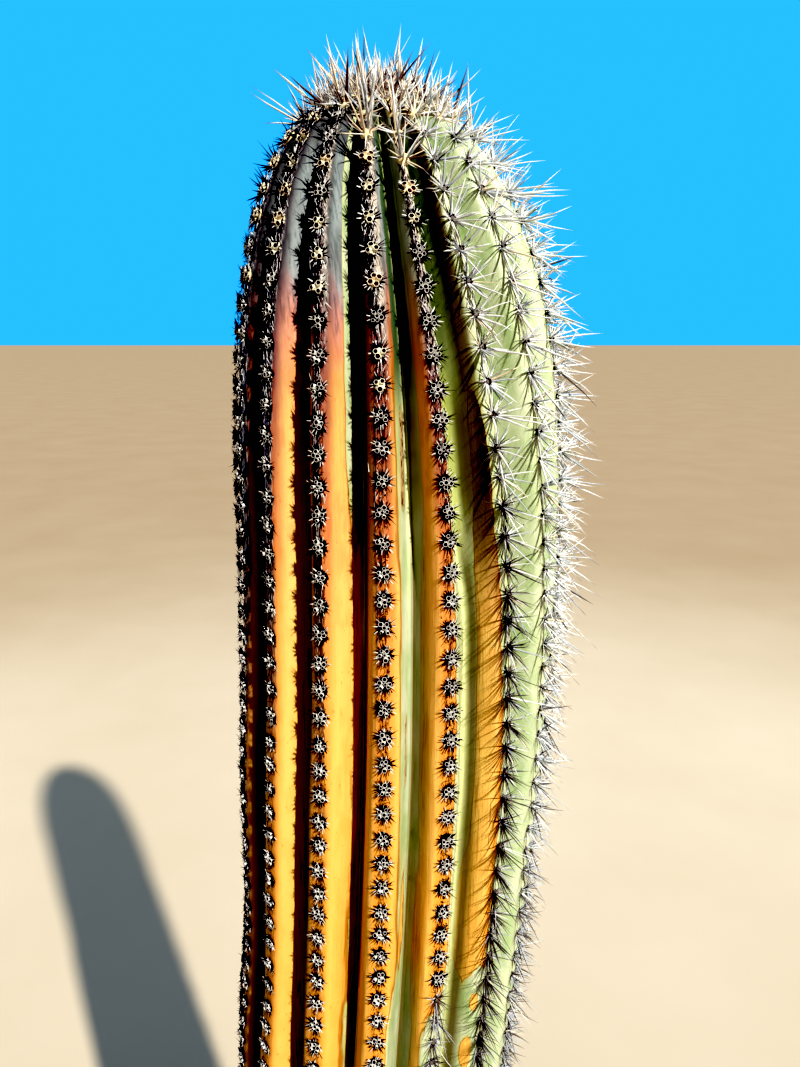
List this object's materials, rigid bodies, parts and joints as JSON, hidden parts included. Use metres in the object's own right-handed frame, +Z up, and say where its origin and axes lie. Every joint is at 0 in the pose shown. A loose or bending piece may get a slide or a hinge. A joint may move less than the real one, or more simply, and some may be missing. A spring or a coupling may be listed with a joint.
{
  "type": "saguaro cactus",
  "caption": "Young ribbed saguaro column with one side scorched by fire, spine rows along its ribs and a spiny crown.",
  "frame": {"origin": "middle of the flat cut under the stem, at ground level", "axes": "+Z up the stem, -Y the front that the picture shows, +X to the right of that front"},
  "size_m": [0.3353, 0.332, 1.8216],
  "materials": {
    "skin": "waxy succulent skin, pale green where sound, orange to yellow and charred black at the top where scorched",
    "crown": "cream wool and stiff tan to brown spines",
    "burnt_row": "charred spine stubs, black with ash-white tips on grey felt",
    "sound_row": "long stiff white-grey spines with dark bases on grey felt"
  },
  "bodies": {
    "root": {"stem": "skin", "crown_spines": "crown", "rib_01_spines": "burnt_row", "rib_02_spines": "burnt_row", "rib_03_spines": "sound_row", "rib_04_spines": "sound_row", "rib_05_spines": "sound_row", "rib_06_spines": "sound_row", "rib_07_spines": "sound_row", "rib_08_spines": "sound_row", "rib_09_spines": "sound_row", "rib_10_spines": "sound_row", "rib_11_spines": "sound_row", "rib_12_spines": "burnt_row", "rib_13_spines": "burnt_row", "rib_14_spines": "burnt_row", "rib_15_spines": "burnt_row", "rib_16_spines": "burnt_row", "rib_17_spines": "burnt_row", "rib_18_spines": "burnt_row"}
  },
  "joints": []
}
